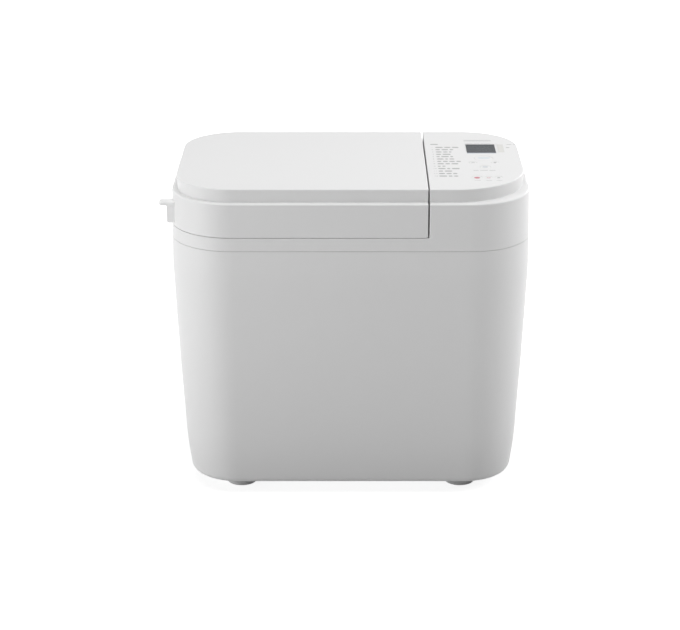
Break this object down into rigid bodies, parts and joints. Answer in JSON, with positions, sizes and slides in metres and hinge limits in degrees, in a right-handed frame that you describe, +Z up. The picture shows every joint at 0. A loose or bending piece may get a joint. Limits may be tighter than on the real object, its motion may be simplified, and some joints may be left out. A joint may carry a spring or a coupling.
{
  "type": "bread machine",
  "caption": "Worktop bread machine with a rounded tapering housing, hinged flat lid, top control panel and a lift-out pan with a belt-driven kneading paddle.",
  "frame": {"origin": "centre of the overall box at floor level", "axes": "+X to the user's right, along the longest side; -Y towards the user; +Z up"},
  "size_m": [0.4084, 0.252, 0.362],
  "materials": {
    "housing_white": "fine satin moulded",
    "key_white": "satin",
    "display_glass": "clear tinted",
    "display_grey": "matte",
    "soft_rubber": "matte",
    "silicone": "matte",
    "plated_steel": "zinc plated",
    "coated_steel": "grey coated sheet",
    "stainless": "bright drawn",
    "heater_steel": "dark oxide",
    "pan_coating": "non-stick coat",
    "cast_alloy": "as cast",
    "lamination": "stacked sheet",
    "copper_wire": "enamelled",
    "bearing_bronze": "sintered",
    "ceramic": "glazed",
    "board_green": "satin",
    "dark_part": "moulded",
    "belt_rubber": "matte",
    "insulation": "felted",
    "nylon": "moulded"
  },
  "bodies": {
    "housing": {"body_shell": "housing_white", "base_plate": "coated_steel", "rubber_feet": "soft_rubber", "base_screws": "plated_steel", "cord_gland": "dark_part", "top_deck": "housing_white", "hinge_pins": "plated_steel", "lcd_window": "display_glass", "lcd_module": "display_grey", "key_switches": "dark_part", "control_board": "board_green", "board_screws": "plated_steel", "power_board": "board_green", "power_parts": "dark_part", "chamber_wall": "coated_steel", "chamber_floor": "coated_steel", "pan_seat": "cast_alloy", "heating_element": "heater_steel", "heater_clips": "plated_steel", "heater_terminals": "ceramic", "temperature_sensor": "stainless", "thermal_fuse": "ceramic", "heat_shield": "plated_steel", "chassis": "plated_steel", "bearing_housing": "cast_alloy", "drive_bushes": "bearing_bronze", "drive_belt": "belt_rubber", "motor_frame": "plated_steel", "motor_stator": "lamination", "motor_coils": "copper_wire", "motor_capacitor": "dark_part"},
    "lid": {"lid_cover": "housing_white", "lid_liner": "coated_steel", "lid_gasket": "silicone", "lid_insulation": "insulation", "lid_grip": "housing_white", "lid_screws": "plated_steel"},
    "pan": {"bread_pan": "pan_coating", "pan_base": "cast_alloy", "pan_bushing": "bearing_bronze", "pan_ears": "stainless"},
    "bail": {"pan_handle": "stainless", "handle_grip": "dark_part"},
    "paddle": {"pan_shaft": "stainless", "pan_coupling": "cast_alloy", "kneading_paddle": "pan_coating"},
    "drive": {"drive_shaft": "stainless", "drive_coupling": "cast_alloy", "driven_pulley": "nylon"},
    "motor": {"motor_rotor": "lamination", "motor_shaft": "stainless", "motor_pulley": "nylon", "motor_fan": "dark_part"},
    "select_key": {"key_select": "key_white"},
    "minus_key": {"key_minus": "key_white"},
    "plus_key": {"key_plus": "key_white"},
    "menu_key": {"key_menu": "key_white"},
    "start_key": {"key_start": "key_white"},
    "crust_key": {"key_crust": "key_white"},
    "stop_key": {"key_stop": "key_white"}
  },
  "joints": [
    {"name": "lid_hinge", "type": "hinge", "parent": "housing", "child": "lid", "pos_m": [-0.024, 0.119, 0.3159], "axis": [-1, 0, 0], "range_deg": [0, 90]},
    {"name": "pan_lift", "type": "slide", "parent": "housing", "child": "pan", "axis": [0, 0, 1], "range_m": [0, 0.03]},
    {"name": "bail_swing", "type": "hinge", "parent": "pan", "child": "bail", "pos_m": [-0.052, 0, 0.226], "axis": [0, 1, 0], "range_deg": [0, 156]},
    {"name": "drive_spin", "type": "hinge", "parent": "housing", "child": "drive", "pos_m": [-0.052, 0, 0.03], "axis": [0, 0, 1], "continuous": true},
    {"name": "paddle_spin", "type": "hinge", "parent": "pan", "child": "paddle", "pos_m": [-0.052, 0, 0.09], "axis": [0, 0, 1], "continuous": true},
    {"name": "motor_spin", "type": "hinge", "parent": "housing", "child": "motor", "pos_m": [0.131, 0, 0.03], "axis": [0, 0, 1], "continuous": true},
    {"name": "select_press", "type": "slide", "parent": "housing", "child": "select_key", "axis": [0, 0, -1], "range_m": [0, 0.0006], "stiffness_N_per_m": 400, "springref_m": -0.0006},
    {"name": "minus_press", "type": "slide", "parent": "housing", "child": "minus_key", "axis": [0, 0, -1], "range_m": [0, 0.0006], "stiffness_N_per_m": 400, "springref_m": -0.0006},
    {"name": "plus_press", "type": "slide", "parent": "housing", "child": "plus_key", "axis": [0, 0, -1], "range_m": [0, 0.0006], "stiffness_N_per_m": 400, "springref_m": -0.0006},
    {"name": "menu_press", "type": "slide", "parent": "housing", "child": "menu_key", "axis": [0, 0, -1], "range_m": [0, 0.0006], "stiffness_N_per_m": 400, "springref_m": -0.0006},
    {"name": "start_press", "type": "slide", "parent": "housing", "child": "start_key", "axis": [0, 0, -1], "range_m": [0, 0.0006], "stiffness_N_per_m": 400, "springref_m": -0.0006},
    {"name": "crust_press", "type": "slide", "parent": "housing", "child": "crust_key", "axis": [0, 0, -1], "range_m": [0, 0.0006], "stiffness_N_per_m": 400, "springref_m": -0.0006},
    {"name": "stop_press", "type": "slide", "parent": "housing", "child": "stop_key", "axis": [0, 0, -1], "range_m": [0, 0.0006], "stiffness_N_per_m": 400, "springref_m": -0.0006}
  ],
  "couplings": [
    {"joint": "paddle_spin", "follows": "drive_spin", "ratio": 1},
    {"joint": "motor_spin", "follows": "drive_spin", "ratio": 4.7186}
  ]
}
